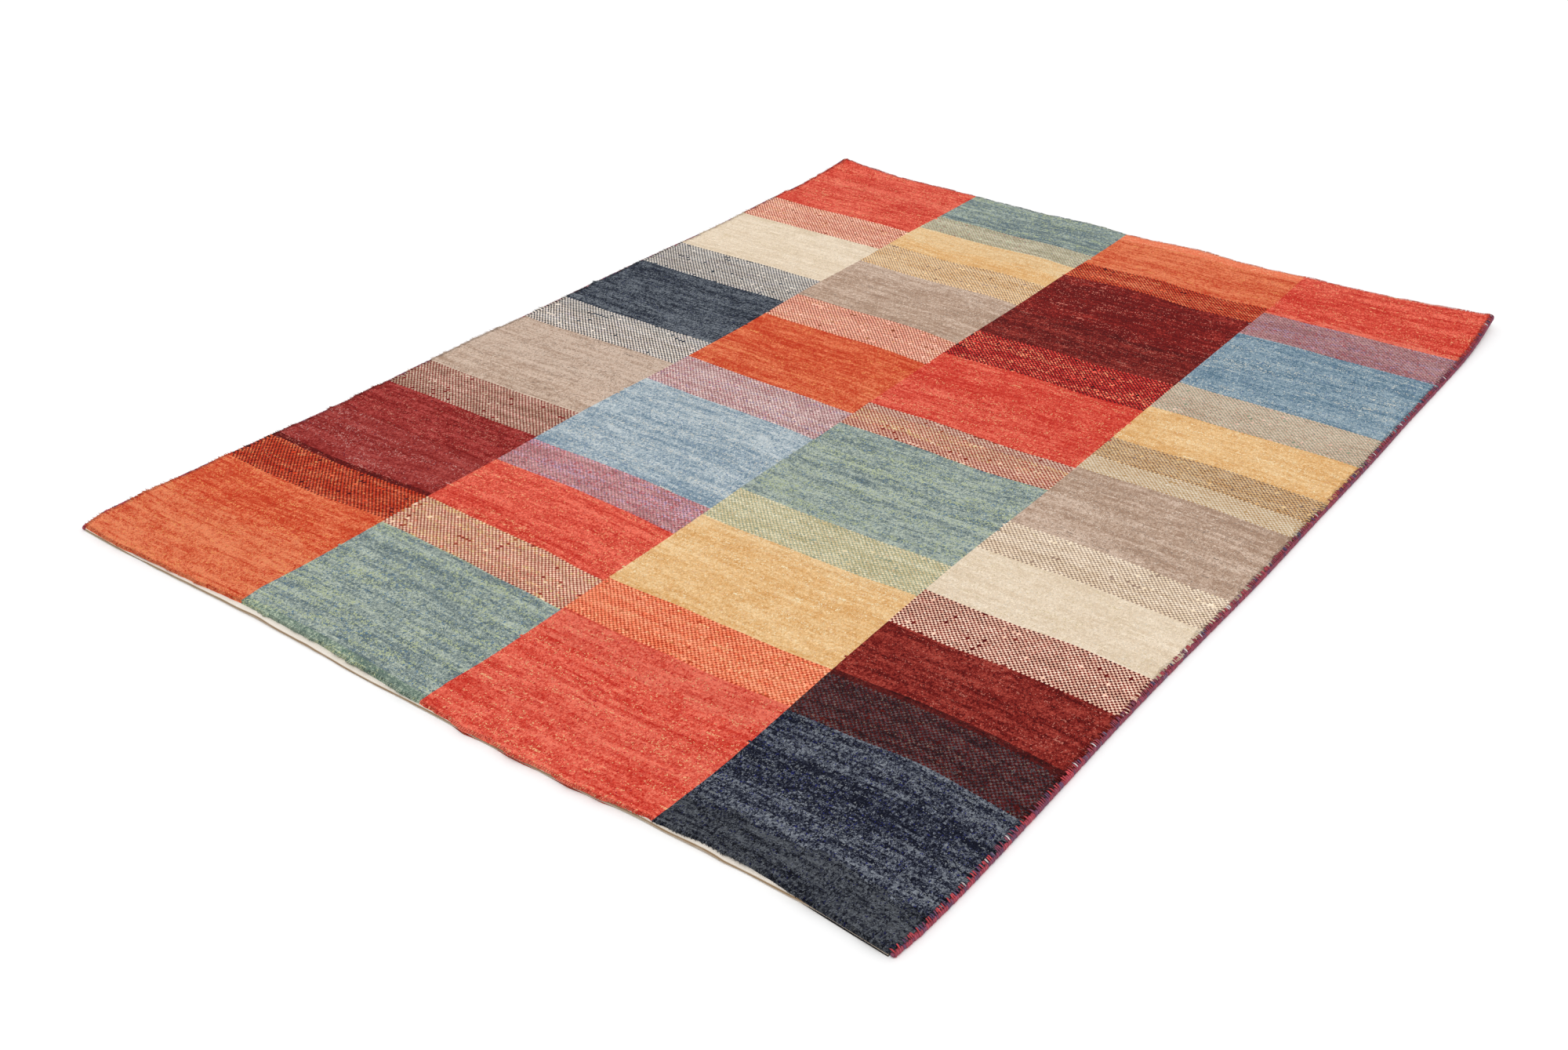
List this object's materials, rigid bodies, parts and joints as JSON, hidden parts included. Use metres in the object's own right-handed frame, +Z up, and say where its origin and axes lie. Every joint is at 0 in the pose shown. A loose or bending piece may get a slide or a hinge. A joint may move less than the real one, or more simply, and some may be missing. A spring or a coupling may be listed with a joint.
{
  "type": "hand-knotted wool rug",
  "caption": "Flat hand-knotted wool rug with a grid of plain colour blocks, cream turned hems at both ends and overcast side cords.",
  "frame": {"origin": "centre of the rug's footprint, on the floor", "axes": "+Y along the warps towards the far end with the curled corners, +X along the wefts, +Z up out of the pile"},
  "size_m": [1.5118, 2.018, 0.0237],
  "materials": {
    "knotted_wool": "clipped matt wool pile in many dyes",
    "overcast_wool": "tightly wrapped wool yarn",
    "hem_flat_weave": "plain flat weave, undyed"
  },
  "bodies": {
    "root": {"rug_cloth": "knotted_wool", "side_cord_left": "overcast_wool", "side_cord_right": "overcast_wool"}
  },
  "joints": []
}
